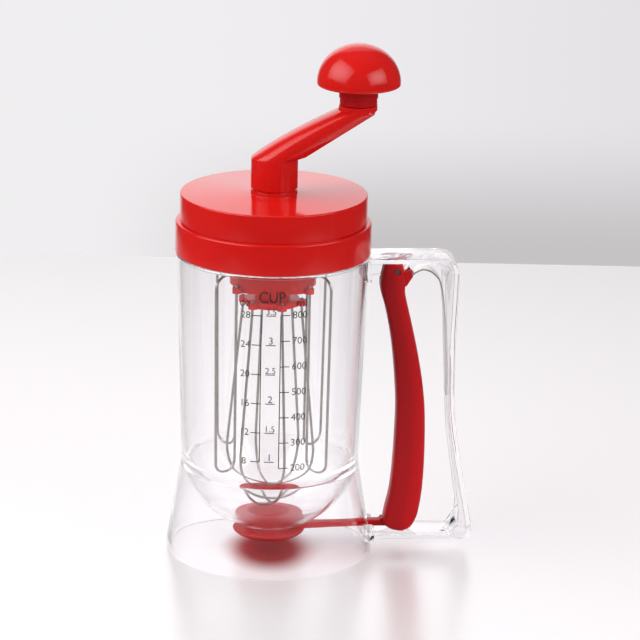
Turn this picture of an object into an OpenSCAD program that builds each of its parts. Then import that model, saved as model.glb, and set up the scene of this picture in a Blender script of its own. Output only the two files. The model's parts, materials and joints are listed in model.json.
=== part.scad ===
// Hand-cranked batter mixer and dispenser.
// A clear jug with a bowl-shaped bottom, a lift-off lid that carries a crank and two
// counter-rotating whisks, and a trigger in the handle that swings a valve cap off the outlet.
// Origin: on the jug's axis at the bottom of the foot. +Z up, handle towards +X.

/* [Jug] */
// Outer radius of the foot, where it stands
foot_r = 56; // [54:0.5:58]
// Height of the foot's straight band
foot_band = 3; // [2:0.5:4]
// Height of the bowl's centre, where the jug is narrowest
bowl_z = 60.9; // [58:0.1:64]
// Outer radius of the bowl and of the jug's waist
bowl_r = 48.2; // [47:0.1:49]
// Outer radius of the jug at its rim
rim_r = 51.1; // [50.5:0.1:51.2]
// Height of the jug's rim
rim_z = 180.6; // [176:0.1:181]
// Wall thickness of the jug and the bowl
wall = 2.2; // [1.8:0.1:2.4]
// Radius of the outlet hole in the seat ring
outlet_r = 11.4; // [9:0.1:13]
// Outer radius of the seat ring
seat_r = 18.5; // [17:0.1:19]

/* [Handle] */
// Width of the handle strap
strap_w = 24; // [20:1:28]
// Thickness of the handle strap
strap_t = 2.6; // [2:0.1:3]
// Height of the strap's top face
strap_top = 166.1; // [165:0.1:166.2]
// Distance of the strap's upright from the jug's axis
strap_x = 99; // [98:0.5:102]
// Height of the strap's lower face above the table
strap_low = 7.5; // [6:0.5:8]

/* [Trigger] */
// Distance of the trigger's pin from the jug's axis
pin_x = 66.9; // [66:0.1:67]
// Height of the trigger's pin
pin_z = 157.8; // [157:0.1:158]
// Radius of the trigger's pin
pin_r = 1.5; // [1.2:0.1:1.8]
// Width of the trigger
trigger_w = 15; // [12:0.5:15]
// Outer radius of the valve cap
cap_r = 19.5; // [18:0.1:20]

/* [Lid] */
// Outer radius of the lower collar
collar_r = 52.6; // [52.5:0.1:53]
// Height of the collar's lower edge
collar_z = 167.9; // [167.8:0.1:169]
// Height of the step between collar and cover
step_z = 184.8; // [184:0.1:186]
// Outer radius of the upper cover
cover_r = 50.2; // [49.5:0.1:50.6]
// Height of the lid's flat top
lid_z = 200; // [199:0.5:201]

/* [Crank] */
// Radius of the upright post
post_r = 12.6; // [12:0.1:13]
// Distance from the drive shaft to the knob
throw = 44.1; // [42:0.1:46]
// Height of the boss that carries the knob
boss_z = 248.4; // [247:0.1:249]
// Radius of the knob boss
boss_r = 10.2; // [9.8:0.1:10.3]
// Radius of the knob's dome
knob_r = 22.4; // [20:0.1:24]
// Height of the very top of the knob
knob_z = 281.2; // [279:0.1:283]

/* [Whisks] */
// Radius of the whisk wire
wire_r = 0.7; // [0.6:0.05:0.8]
// Half the width of the outer whisk's square drum
drum_w = 23; // [22.6:0.1:23.2]
// Turn of the outer whisk from the diagonals
outer_turn = -2; // [-10:1:10]
// Turn of the inner whisk
inner_turn = 46; // [40:1:50]
// Height of the lowest point of the inner whisk
whisk_z = 25.7; // [25:0.1:28]

/* [Gears] */
// Gear module
gear_m = 0.8; // [0.8:0.1:0.8]
// Teeth of the sun gear on the shaft
sun_n = 18; // [18:1:18]
// Teeth of each planet gear
planet_n = 15; // [15:1:15]
// Radius of the drive shaft
shaft_r = 3; // [2.6:0.1:3]

/* [Hidden] */

$fn = 96;
// smallest overlap that makes a cut clean
cut = 1;
// running clearance of a shaft in its hole, on the radius
run = 0.08;
// gap between faces that pass each other
gap = 0.3;

// jug
joint_z = bowl_z - 2.9;
inner_r = bowl_r - wall;
mouth_r = rim_r - wall;
bead_z = collar_z - 0.4;
bead_h = 1.7;
bead_out = 1.1;
opening_r = outlet_r + 1.6;
waist_z = 50.4;
crotch_z = 48.5;
foot_wall = 1.6;
flange_t = 2.6;
lug_w = 6;
slot_r = 6;
slot_z = 15;
slot_sill = 9.9;
upper_boss_x = 52.6;
lower_boss_x = 57;
lower_boss_low = 5.5;
lower_boss_top = 14;
seat_top = 22.5;
seat_low = 14.7;

// trigger and valve
arm_z = 12.2;
arm_t = 3.1;
arm_w = 6;
arm_end = 62.6;
tongue = 6;
cap_z = 11.9;
cap_low = 5.5;
cap_top = arm_z;
pad_r = 12.5;
pad_z = 11.2;
spring_w = 10;
spring_t = 0.8;

// lid
lid_wall = 2.4;
plug_r = mouth_r - 0.6;
plug_t = 1.5;
ceiling_z = lid_z - 2.6;
spigot_r = 46.4;
plate_z = 175.2;
plate_t = 2.4;
plate_r = spigot_r - 2.1;
screw_ring = 36;
neck_z = lid_z + 3.1;
bush_low = 188;

// gears
planet_ring = gear_m*(sun_n + planet_n)/2;
ring_n = sun_n + 2*planet_n;
gear_z = 162.8;
gear_h = 7;
pressure = 25;
gear_pin_r = 1.5;
washer_z = 148.9;
washer_t = 0.8;
loop_plate_z = 149.8;
loop_plate_t = 2.9;
drum_z = loop_plate_z + loop_plate_t;
drum_top = plate_z - 0.8;
hub_z = 138.9;
hub_t = 3.2;

// crank
post_z = neck_z + 0.2;
arm_root_z = 219.3;
knob_pin_r = 2.5;
knob_pin_deep = 7.6;
stem_z = boss_z + gap;
dome_z = 260.5;
dome_low = 258.8;

clear_plastic = [0.86, 0.89, 0.92, 0.4];
red_plastic = [0.84, 0.1, 0.09];
trigger_red = [0.68, 0.1, 0.11];
nylon = [0.93, 0.92, 0.88];
silicone = [0.86, 0.72, 0.72];
steel = [0.72, 0.72, 0.7];

// ---- helpers -----------------------------------------------------------------------

function unit(v) = v/norm(v);
function left_of(v) = [-v.y, v.x];

// Corner i of a path, rounded with radius r: points along the arc.
function corner(a, p, b, r, steps) =
    let (d1 = unit(p - a), d2 = unit(b - p),
         side = sign(d1.x*d2.y - d1.y*d2.x),
         turn = acos(d1*d2),
         from = p - d1*r*tan(turn/2),
         centre = from + left_of(d1)*r*side,
         start = from - centre)
    [for (k = [0:steps])
        let (t = side*turn*k/steps)
        centre + [start.x*cos(t) - start.y*sin(t), start.x*sin(t) + start.y*cos(t)]];

// An open path with rounded corners. radii[i] belongs to corner i; the ends have none.
function rounded(path, radii, steps = 8) =
    [for (i = [0:len(path) - 1])
        each (i == 0 || i == len(path) - 1) ? [path[i]]
            : corner(path[i - 1], path[i], path[i + 1], radii[i], steps)];

// The same path moved d to its right.
function beside(path, d) =
    [for (i = [0:len(path) - 1])
        let (n1 = left_of(unit(path[max(i, 1)] - path[max(i, 1) - 1])),
             j = min(i, len(path) - 2),
             n2 = left_of(unit(path[j + 1] - path[j])))
        path[i] - (n1 + n2)*d/(1 + n1*n2)];

// A smooth curve through the points.
function smooth(p, steps = 6) =
    [for (i = [0:len(p) - 2])
        let (a = p[max(i - 1, 0)], b = p[i], c = p[i + 1], d = p[min(i + 2, len(p) - 1)])
        for (k = [0:(i == len(p) - 2 ? steps : steps - 1)])
            let (t = k/steps)
            (2*b + (c - a)*t + (2*a - 5*b + 4*c - d)*t*t + (3*b - a - 3*c + d)*t*t*t)/2];

function reversed(p) = [for (i = [len(p) - 1:-1:0]) p[i]];

// Part of an ellipse about [x, z], from angle a to angle b.
function ellipse(x, z, rx, rz, a, b, steps) =
    [for (k = [0:steps]) let (t = a + (b - a)*k/steps) [x + rx*cos(t), z + rz*sin(t)]];

// A flat outline in X and Z, given depth w about the middle plane.
module side_plate(outline, w) {
    rotate([90, 0, 0])
        linear_extrude(height = w, center = true)
            polygon(outline);
}

// A many-sided wire along a path in X and Z.
module tube(p) {
    n = 10;
    last = len(p) - 1;
    rings = [for (i = [0:last])
        let (side = left_of(unit(p[min(i + 1, last)] - p[max(i - 1, 0)])))
        for (k = [0:n - 1])
            let (a = 360*k/n, off = side*wire_r*cos(a))
            [p[i].x + off.x, wire_r*sin(a), p[i].y + off.y]];
    sides = [for (i = [0:last - 1]) for (k = [0:n - 1])
        [i*n + k, i*n + (k + 1)%n, (i + 1)*n + (k + 1)%n, (i + 1)*n + k]];
    polyhedron(rings, concat(sides,
        [[for (k = [n - 1:-1:0]) k]], [[for (k = [0:n - 1]) last*n + k]]));
}

// Involute gear outline. add and ded are in modules, slack widens (+) or thins (-) each tooth.
function inv_deg(a) = tan(a)*180/PI - a;
function tooth_half(r, n, slack) =
    let (rp = gear_m*n/2, rb = rp*cos(pressure))
    90/n + slack*90/(PI*rp) + inv_deg(pressure) - inv_deg(acos(min(1, rb/r)));
function gear_points(n, add, ded, slack) =
    let (rp = gear_m*n/2, tip = rp + add*gear_m, root = rp - ded*gear_m,
         base = max(root, rp*cos(pressure)),
         radii = [for (k = [0:3]) base + (tip - base)*k/3])
    [for (t = [0:n - 1])
        let (mid = 360*t/n)
        each concat(
            [root*[cos(mid - tooth_half(base, n, slack)), sin(mid - tooth_half(base, n, slack))]],
            [for (r = radii) let (h = tooth_half(r, n, slack)) r*[cos(mid - h), sin(mid - h)]],
            [for (r = reversed(radii)) let (h = tooth_half(r, n, slack)) r*[cos(mid + h), sin(mid + h)]],
            [root*[cos(mid + tooth_half(base, n, slack)), sin(mid + tooth_half(base, n, slack))]])];

module ring(r_out, r_in, h) {
    difference() {
        cylinder(r = r_out, h = h);
        translate([0, 0, -cut]) cylinder(r = r_in, h = h + 2*cut);
    }
}

// A square with round corners, half width w.
module round_square(w, r, h) {
    for (a = [0, 90])
        rotate([0, 0, a])
            translate([-w, r - w, 0])
                cube([2*w, 2*(w - r), h]);
    for (a = [0:90:270])
        rotate([0, 0, a])
            translate([w - r, w - r, 0])
                cylinder(r = r, h = h);
}

// ---- jug ----------------------------------------------------------------------------

// Clear cylinder with a bead under the lid and a flat boss for the handle.
module jug_body() {
    top_r = rim_r + 0.5;
    slope = (top_r - bowl_r)/(bead_z - joint_z);
    boss_top = strap_top - strap_t;
    boss_h = 11;
    color(clear_plastic) difference() {
        union() {
            rotate_extrude()
                polygon(concat(
                    [[inner_r, joint_z], [bowl_r, joint_z]],
                    [[bowl_r + slope*(bead_z - bead_h - joint_z), bead_z - bead_h]],
                    ellipse(top_r, bead_z - bead_h/2, bead_out - 0.5, bead_h/2, -80, 80, 6),
                    [[rim_r, bead_z], [rim_r, rim_z - 0.5], [rim_r - 0.5, rim_z]],
                    [[mouth_r + 0.5, rim_z], [mouth_r, rim_z - 0.5]]));
            translate([bowl_r - 2, -strap_w/2 + 2, boss_top - boss_h])
                cube([upper_boss_x - bowl_r + 2, strap_w - 4, boss_h + strap_t]);
        }
        translate([0, 0, joint_z - cut])
            cylinder(r1 = inner_r, r2 = mouth_r, h = rim_z - joint_z + 2*cut);
    }
}

// Bowl-shaped bottom of the jug, open at the outlet.
module bowl_base() {
    rim = bowl_z - crotch_z;
    color(clear_plastic) rotate_extrude()
        polygon(concat(
            ellipse(0, bowl_z, bowl_r, bowl_r, -asin(rim/bowl_r), -acos((opening_r + 0.4)/bowl_r), 16),
            ellipse(0, bowl_z, inner_r, inner_r, -acos(opening_r/inner_r), -asin(rim/inner_r), 16)));
}

// Flared foot that carries the bowl, with the handle's lug and the valve arm's slot.
module foot_skirt() {
    rim = bowl_z - crotch_z;
    skirt = concat([[bowl_r, joint_z]],
        corner([bowl_r, joint_z], [bowl_r, waist_z], [foot_r, foot_band], 30, 4),
        [[foot_r, foot_band], [foot_r, 0]]);
    skirt_in = [[foot_r - foot_wall, 0], [foot_r - foot_wall, foot_band],
        [sqrt(bowl_r*bowl_r - rim*rim), crotch_z]];
    color(clear_plastic) difference() {
        union() {
            rotate_extrude()
                polygon(concat(skirt, skirt_in,
                    ellipse(0, bowl_z, inner_r, inner_r, -asin(rim/inner_r),
                        -asin((bowl_z - joint_z)/inner_r), 4)));
            difference() {
                translate([foot_r - 6, -strap_w/2, lower_boss_low])
                    cube([lower_boss_x - foot_r + 6, strap_w, lower_boss_top - lower_boss_low]);
                cylinder(r = foot_r - wall - 1.5, h = 3*lower_boss_top, center = true);
            }
        }
        difference() {
            translate([foot_r - 12, 0, slot_z])
                rotate([0, 90, 0])
                    cylinder(r = slot_r, h = 24, $fn = 48);
            translate([foot_r - 12 - cut, -slot_r, 0]) cube([26, 2*slot_r, slot_sill]);
        }
        translate([foot_r - 12, -slot_r, slot_sill])
            cube([24, 2*slot_r, slot_z - slot_sill]);
    }
}

// Soft ring that lies in the bowl's opening and gives the valve its seat.
module outlet_seat() {
    neck = opening_r - 0.1;
    bed_r = inner_r - 0.05;
    color(silicone) rotate_extrude()
        polygon(concat(
            [[outlet_r, seat_low], [neck, seat_low]],
            ellipse(0, bowl_z, bed_r, bed_r, -acos(neck/bed_r), -acos(seat_r/bed_r), 4),
            ellipse(seat_r - 1.2, seat_top - 1.6, 1.2, 1.2, 0, 90, 4),
            [[outlet_r + 0.7, seat_top], [outlet_r, seat_top - 0.6]]));
}

// ---- handle -------------------------------------------------------------------------

strap_lean = 10.3;
strap_bend_z = 75.6;
strap_path = [[upper_boss_x, strap_top], [strap_x + 1.2, strap_top], [strap_x - 0.4, 118],
    [strap_x + 0.1, strap_bend_z],
    [strap_x + 0.1 + (strap_bend_z - strap_low)*tan(strap_lean), strap_low],
    [lower_boss_x, strap_low]];
strap_radii = [0, 9.5, 300, 200, 5.5, 0];
web_radii = [0, 9.5 - strap_t, 300 + strap_t, 200 + strap_t, 5.5 - strap_t, 0];

// Inner edge of the upright's two flanges. They run out into the plain bars above and below.
flange_edge = [[upper_boss_x, strap_top - strap_t], [86.5, strap_top - strap_t], [90.2, 161],
    [92.1, 153.6], [92.5, 143.7], [94, 115.6], [95.3, 87.4], [96.8, 64.6], [100.2, 41.6],
    [102.8, 24.4], [102.4, 15.4], [98.6, strap_low + strap_t],
    [lower_boss_x, strap_low + strap_t]];

// C-shaped handle from the jug's rim to its foot, with a rib in its lower corner.
module handle_frame() {
    web = beside(strap_path, strap_t);
    foot = web[4];
    color(clear_plastic) {
        difference() {
            side_plate(concat(rounded(strap_path, strap_radii), reversed(flange_edge)), strap_w);
            side_plate(concat(rounded(web, web_radii), [[0, strap_low + strap_t],
                [0, strap_top - strap_t]]), strap_w - 2*flange_t);
        }
        side_plate([foot + [-1.2, 1], foot + [-14, -0.01], foot + [-3.2, 16]], 2);
    }
}

// Lug under the handle's upper bar that the trigger hangs on.
module hinge_lug() {
    low = pin_z - 3;
    color(clear_plastic) difference() {
        side_plate([[upper_boss_x, low], [69.6, low], [75.6, strap_top - strap_t],
            [upper_boss_x, strap_top - strap_t]], lug_w);
        translate([pin_x, lug_w, pin_z])
            rotate([90, 0, 0])
                cylinder(r = pin_r, h = 2*lug_w, $fn = 48);
    }
}

module trigger_pin() {
    length = trigger_w - 0.2;
    color(steel)
        translate([pin_x, length/2, pin_z])
            rotate([90, 0, 0])
                cylinder(r = pin_r, h = length, $fn = 48);
}

// Bent strip of spring steel between the trigger's lug and the strap.
module trigger_spring() {
    line = smooth([[71.6, 151.4], [73.2, 154.1], [75.6, 156.6], [78.4, 158.3], [81.4, 158.9], [85.2, 157.7],
        [88.5, 154.9], [90.6, 151.4], [92.1, 144.6], [93.2, 134.6], [94.2, 122], [95, 105], [95.4, 88]], 4);
    color(steel) side_plate(concat(line, reversed(beside(line, spring_t))), spring_w);
}

// ---- trigger and valve ----------------------------------------------------------------

trigger_front = [[59.7, 162.6], [58.9, 158.6], [57.9, 153], [58.1, 146.6], [61.3, 135],
    [64.6, 118.2], [66.8, 99], [68, 79], [67.1, 50.1], [65.6, 32.9], [63.3, 21.8], [62.4, 14.9]];
trigger_back = [[80, 16.2], [81.6, 21.1], [83.4, 34], [84.2, 52], [83.9, 76.1], [82.3, 93.1],
    [79.4, 110], [75.7, 126.8], [71.7, 143.5], [71.4, 149.5], [71.2, 155.5], [69.3, 162.6]];
trigger_foot = [[62.4, 14.9], [64, 12.6], [68, 11], [73, 10.6], [77.4, 12.2], [80, 16.2]];

// Curved finger lever. Its head is forked round the handle's lug and has a slot for the spring.
module trigger_lever() {
    fork_z = pin_z - 4.5;
    color(trigger_red) difference() {
        union() {
            side_plate(concat(smooth(trigger_front, 4), smooth(trigger_foot, 3),
                smooth(trigger_back, 4)), trigger_w);
            side_plate([[70.5, 149.4], [71.8, 149.4], [75.3, 155], [73.6, 158.3],
                [71.5, 157.4], [70.5, 155]], 12);
        }
        side_plate([[50, fork_z], [71.8, fork_z], [79, 164], [79, 170], [50, 170]], lug_w + 0.8);
        side_plate([[71, 149.5], [72.3, 151], [74.4, 154.2], [78, 157.4], [77, 159.4],
            [73.4, 156.6], [71, 152.6]], spring_w + 0.6);
        translate([pin_x, trigger_w, pin_z])
            rotate([90, 0, 0])
                cylinder(r = pin_r + run, h = 2*trigger_w, $fn = 48);
        translate([arm_end - cut, -arm_w/2, arm_z])
            cube([tongue + cut, arm_w, arm_t]);
    }
}

// Flat bar from the trigger's foot to the valve cap. Its root lies on the cap's rim.
module valve_arm() {
    root = 17;
    flare = 33;
    color(red_plastic) {
        difference() {
            translate([0, 0, arm_z])
                linear_extrude(height = arm_t)
                    polygon([[root - 9, -5], [root, -5], [flare - 8, -3.9], [flare + 2, -arm_w/2],
                        [arm_end + tongue, -arm_w/2], [arm_end + tongue, arm_w/2],
                        [flare + 2, arm_w/2], [flare - 8, 3.9], [root, 5], [root - 9, 5]]);
            translate([0, 0, arm_z - cut]) cylinder(r = pad_r + 0.4, h = 3*arm_t);
            rotate_extrude()
                polygon([[pad_r, arm_z + 1.7], [22, arm_z + 4.8], [pad_r, arm_z + 4.8]]);
        }
        side_plate([[arm_end - 2.4, arm_z + arm_t - 0.01], [arm_end - 0.1, arm_z + arm_t - 0.01],
            [arm_end - 0.1, arm_z + arm_t + 1.3], [arm_end - 1.4, arm_z + arm_t + 1.3]], arm_w);
    }
}

// Shallow dish with a sharp rim that closes the outlet from below.
module valve_cap() {
    color(red_plastic) rotate_extrude()
        polygon(concat([[0, pad_z], [0, cap_low]],
            ellipse(0, cap_z, cap_r, cap_z - cap_low, -84, 0, 12),
            [[cap_r - 0.1, cap_top], [pad_r, cap_top], [pad_r, pad_z]]));
}

// Soft plug in the cap that presses against the seat ring.
module valve_pad() {
    top = seat_low - 0.05;
    color(trigger_red) rotate_extrude()
        polygon([[0, pad_z], [pad_r, pad_z], [pad_r, top - 0.5], [pad_r - 0.5, top], [0, top]]);
}

// ---- lid ------------------------------------------------------------------------------

module lid_collar() {
    inside = rim_r + 0.3;
    top_t = lid_wall;
    color(red_plastic) rotate_extrude()
        polygon(concat(
            [[inside, collar_z], [collar_r - 0.3, collar_z], [collar_r, collar_z + 0.3]],
            ellipse(collar_r - 1.2, step_z - 1.2, 1.2, 1.2, 0, 90, 5),
            [[spigot_r, step_z], [spigot_r, step_z - top_t], [plug_r - plug_t, step_z - top_t],
             [plug_r - plug_t, 172], [plug_r, 172], [plug_r, step_z - top_t],
             [inside, step_z - top_t]]));
}

// Upper cover with the collar round the shaft, screw posts and a spigot inside the lower collar.
module lid_cover() {
    post = 3.6;
    pilot = 1.2;
    color(red_plastic) difference() {
        union() {
            rotate_extrude()
                polygon(concat(
                    [[spigot_r - 2, plate_z + plate_t], [spigot_r, plate_z + plate_t]],
                    [[spigot_r, step_z], [cover_r, step_z]],
                    ellipse(cover_r - 0.9, lid_z - 0.9, 0.9, 0.9, 0, 90, 5),
                    [[post_r - 0.1, lid_z], [post_r, lid_z + 0.1], [post_r, lid_z + 2],
                     [post_r - 1, lid_z + 2], [post_r - 1, neck_z], [6, neck_z],
                     [6, bush_low], [9, bush_low], [9, ceiling_z],
                     [cover_r - lid_wall, ceiling_z], [cover_r - lid_wall, step_z + 2],
                     [spigot_r - 2, step_z]]));
            for (a = [60:120:300])
                rotate([0, 0, a])
                    translate([screw_ring, 0, plate_z + plate_t])
                        cylinder(r = post, h = ceiling_z - plate_z - plate_t + 0.5, $fn = 32);
        }
        for (a = [60:120:300])
            rotate([0, 0, a])
                translate([screw_ring, 0, plate_z])
                    cylinder(r = pilot, h = 12, $fn = 24);
    }
}

module lid_seal() {
    color(silicone)
        translate([0, 0, rim_z + 0.1])
            ring(rim_r - 0.1, mouth_r + 0.1, step_z - lid_wall - rim_z - 0.1);
}

module shaft_bush() {
    color(nylon)
        translate([0, 0, bush_low])
            ring(6, shaft_r + run, neck_z - bush_low);
}

// Plate that closes the lid below and holds the planet pins.
module gear_plate() {
    color(nylon) difference() {
        union() {
            translate([0, 0, plate_z]) cylinder(r = plate_r, h = plate_t);
            for (a = [0:120:240])
                rotate([0, 0, a])
                    translate([planet_ring, 0, gear_z + gear_h])
                        cylinder(r = 3, h = plate_z - gear_z - gear_h + 0.5, $fn = 48);
        }
        translate([0, 0, plate_z - cut]) cylinder(r = shaft_r + 0.8, h = plate_t + 2*cut);
        for (a = [0:120:240])
            rotate([0, 0, a])
                translate([planet_ring, 0, gear_z])
                    cylinder(r = gear_pin_r, h = plate_z + plate_t, $fn = 48);
        for (a = [60:120:300])
            rotate([0, 0, a])
                translate([screw_ring, 0, plate_z - cut])
                    cylinder(r = 1.2, h = plate_t + 2*cut, $fn = 24);
    }
}

module planet_pins() {
    color(steel)
        for (a = [0:120:240])
            rotate([0, 0, a])
                translate([planet_ring, 0, 0]) {
                    translate([0, 0, gear_z - 1.2])
                        cylinder(r = gear_pin_r, h = plate_z + plate_t - gear_z + 1.2, $fn = 48);
                    translate([0, 0, gear_z - 1.4])
                        cylinder(r = 2.6, h = 1, $fn = 32);
                }
}

module lid_screws() {
    head = 1.6;
    color(steel)
        for (a = [60:120:300])
            rotate([0, 0, a])
                translate([screw_ring, 0, plate_z - head]) {
                    difference() {
                        cylinder(r = 3, h = head, $fn = 32);
                        for (t = [0, 90])
                            rotate([0, 0, t])
                                translate([-1.6, -0.3, -cut])
                                    cube([3.2, 0.6, cut + 0.7]);
                    }
                    cylinder(r = 1.2, h = head + 11, $fn = 24);
                }
}

// ---- crank ------------------------------------------------------------------------------

// Post, curved arm and knob boss. The arm is a slanting column that narrows towards the boss.
module crank_arm() {
    rise = boss_z - 2.7 - arm_root_z;
    color(red_plastic) difference() {
        union() {
            translate([0, 0, post_z]) cylinder(r = post_r, h = arm_root_z - post_z);
            hull()
                for (t = [0:0.2:1]) {
                    right = post_r + (throw + boss_r - post_r)*t;
                    bulge = 10.8*t*(1 - t);
                    left = -post_r + (throw - boss_r + post_r)*t - bulge;
                    translate([(left + right)/2, 0, arm_root_z + rise*t - 0.01])
                        linear_extrude(height = 0.01)
                            scale([(right - left)/2, post_r + (boss_r - post_r)*t])
                                circle(r = 1, $fn = 48);
                }
            translate([throw, 0, boss_z - 2.8]) cylinder(r = boss_r, h = 2.8);
        }
        translate([0, 0, post_z - cut]) cylinder(r = shaft_r, h = 14 + cut, $fn = 48);
        translate([throw, 0, boss_z - knob_pin_deep])
            cylinder(r = knob_pin_r, h = knob_pin_deep + cut, $fn = 48);
    }
}

clip_z = bush_low - 1.1;
clip_t = 0.8;

// Steel shaft with a groove for the clip and a screw hole in its lower end.
module drive_shaft() {
    color(steel) difference() {
        translate([0, 0, hub_z]) cylinder(r = shaft_r, h = post_z + 14 - hub_z, $fn = 48);
        translate([0, 0, clip_z]) ring(shaft_r + cut, shaft_r - 0.6, clip_t);
        translate([0, 0, hub_z - cut]) cylinder(r = 1.5, h = 10 + cut, $fn = 24);
    }
}

module retaining_clip() {
    inside = shaft_r - 0.6;
    color(steel)
        translate([0, 0, clip_z])
            difference() {
                ring(shaft_r + 2.2, inside, clip_t);
                translate([0, -inside + 0.3, -cut])
                    cube([2*shaft_r, 2*inside - 0.6, clip_t + 2*cut]);
            }
}

module gear(n, slack, bore, z0, h) {
    translate([0, 0, z0])
        difference() {
            linear_extrude(height = h)
                polygon(gear_points(n, 0.95, 1.25, slack));
            translate([0, 0, -cut]) cylinder(r = bore, h = h + 2*cut, $fn = 48);
        }
}

module sun_gear() {
    color(nylon) gear(sun_n, -0.08, shaft_r, gear_z, gear_h);
}

// Six-lobed plate with a neck; the wires of the inner whisk end in its lobes.
module inner_hub() {
    color(red_plastic) difference() {
        union() {
            translate([0, 0, hub_z]) cylinder(r = 14.6, h = hub_t);
            translate([0, 0, hub_z]) cylinder(r = 9.5, h = washer_z - hub_z - 0.05);
            for (a = [0:60:300])
                rotate([0, 0, inner_turn + a])
                    translate([15.6, 0, hub_z]) cylinder(r = 2.7, h = hub_t, $fn = 32);
        }
        translate([0, 0, hub_z - cut]) cylinder(r = shaft_r, h = 14, $fn = 48);
        for (a = [0:60:300])
            rotate([0, 0, inner_turn + a])
                translate([16.2, 0, hub_z - cut])
                    cylinder(r = wire_r + 0.35, h = hub_t + 2*cut, $fn = 24);
    }
}

// Half width, middle height and upper angle of the round lower part of an inner loop.
belly_r = 24;
belly_z = 56;
belly_up = 7;

// Three wire loops that cross above the outlet.
module inner_whisk() {
    step = 2.6*wire_r;
    leg = [[16.2, hub_z + hub_t + 1], [16.2, hub_z - 3]];
    color(steel)
        for (k = [0:2]) {
            deep = belly_z - whisk_z - wire_r - step*k;
            bend = corner(leg[0], leg[1], [belly_r, belly_z], 20, 4);
            far = [for (p = reversed(concat([leg[0]], bend))) [-p.x, p.y]];
            rotate([0, 0, inner_turn + 60*k])
                tube(concat([leg[0]], bend,
                    ellipse(0, belly_z, belly_r, deep, belly_up, -180 - belly_up, 30), far));
        }
}

module hub_screw() {
    head = 2.6;
    color(steel) {
        translate([0, 0, hub_z - head])
            difference() {
                cylinder(r = 5, h = head, $fn = 48);
                translate([-3, -0.5, -cut]) cube([6, 1, cut + 1]);
            }
        translate([0, 0, hub_z]) cylinder(r = 1.5, h = 9, $fn = 24);
    }
}

module knob_pin() {
    head_z = dome_low + 3.9;
    color(steel) {
        translate([throw, 0, boss_z - knob_pin_deep])
            cylinder(r = knob_pin_r, h = head_z - boss_z + knob_pin_deep, $fn = 48);
        translate([throw, 0, head_z])
            difference() {
                cylinder(r = 5.2, h = 2.4, $fn = 48);
                translate([-3.4, -0.5, 1.4]) cube([6.8, 1, cut + 1]);
            }
    }
}

// Hollow dome of the knob.
module knob_dome() {
    shell = 2.2;
    high = knob_z - dome_z;
    color(red_plastic) translate([throw, 0, 0]) rotate_extrude()
        polygon(concat(
            [[knob_r - shell, dome_low], [knob_r - 1, dome_low]],
            ellipse(0, dome_z, knob_r, high, 0, 90, 20),
            reversed(ellipse(0, dome_z, knob_r - shell, high - shell, 0, 90, 16))));
}

// Neck of the knob with the plate that closes the dome below.
module knob_stem() {
    color(red_plastic) translate([throw, 0, 0]) rotate_extrude()
        polygon([[knob_pin_r + run, stem_z], [boss_r - 0.2, stem_z],
            [boss_r - 0.2, stem_z + 3.6], [boss_r + 0.2, stem_z + 3.6],
            [boss_r + 0.2, dome_low], [knob_r - 2.3, dome_low],
            [knob_r - 2.3, dome_low + 1.6], [6, dome_low + 1.6], [6, dome_low + 3.6],
            [knob_pin_r + run, dome_low + 3.6]]);
}

// ---- outer whisk ---------------------------------------------------------------------

leg_in = 27.3;
leg_out = 42.5;

// Square drum with the ring teeth inside.
module whisk_drum() {
    floor_t = 2.5;
    color(red_plastic) difference() {
        rotate([0, 0, outer_turn])
            translate([0, 0, drum_z]) round_square(drum_w, 15, drum_top - drum_z);
        translate([0, 0, drum_z + floor_t]) cylinder(r = 19.6, h = drum_top);
        translate([0, 0, gear_z - 0.6])
            linear_extrude(height = drum_top)
                polygon(gear_points(ring_n, 1.25, 0.9, 0.08));
        translate([0, 0, gear_z + gear_h + 0.6]) cylinder(r = 20.4, h = drum_top);
        translate([0, 0, drum_z - cut]) cylinder(r = shaft_r + run, h = 3*floor_t, $fn = 48);
        loop_holes(wire_r + 0.01);
    }
}

// Flange under the drum; the inner legs of the loops pass through its corners.
module loop_plate() {
    color(red_plastic) difference() {
        rotate([0, 0, outer_turn]) {
            translate([0, 0, loop_plate_z]) round_square(21.4, 12, loop_plate_t);
            for (a = [45:90:315])
                rotate([0, 0, a])
                    translate([leg_in - 0.4, 0, loop_plate_z])
                        cylinder(r = 2.6, h = loop_plate_t, $fn = 32);
        }
        translate([0, 0, loop_plate_z - cut]) cylinder(r = shaft_r + run, h = 6, $fn = 48);
        for (a = [45:90:315])
            rotate([0, 0, outer_turn + a])
                translate([leg_in, 0, loop_plate_z - cut])
                    cylinder(r = wire_r + 0.01, h = loop_plate_t + 2*cut, $fn = 24);
    }
}

top_wire_z = 161;

// Holes in the drum's corners for the upper ends of the loops.
module loop_holes(r) {
    for (a = [45:90:315])
        rotate([0, 0, outer_turn + a])
            translate([23.4, 0, top_wire_z])
                rotate([0, 90, 0])
                    cylinder(r = r, h = 10, $fn = 24);
}

// Four tall wire loops.
module outer_whisk() {
    color(steel)
        for (a = [45:90:315])
            rotate([0, 0, outer_turn + a])
                tube(rounded([[leg_in, drum_z + 1.8], [leg_in, 50.2], [leg_out - 1.4, 50.2],
                    [leg_out, top_wire_z], [23.6, top_wire_z]], [0, 6.6, 6.6, 7, 0], 6));
}

module thrust_washer() {
    color(nylon)
        translate([0, 0, washer_z]) ring(8.5, shaft_r + run, washer_t);
}

// Planets are placed so that a gap between teeth faces the sun's tooth.
module planet_gear(k) {
    color(nylon)
        rotate([0, 0, 120*k])
            translate([planet_ring, 0, 0])
                gear(planet_n, -0.08, gear_pin_r + run, gear_z + 0.1, gear_h - 0.6);
}
module planet_gear_1() { planet_gear(0); }
module planet_gear_2() { planet_gear(1); }
module planet_gear_3() { planet_gear(2); }

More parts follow.
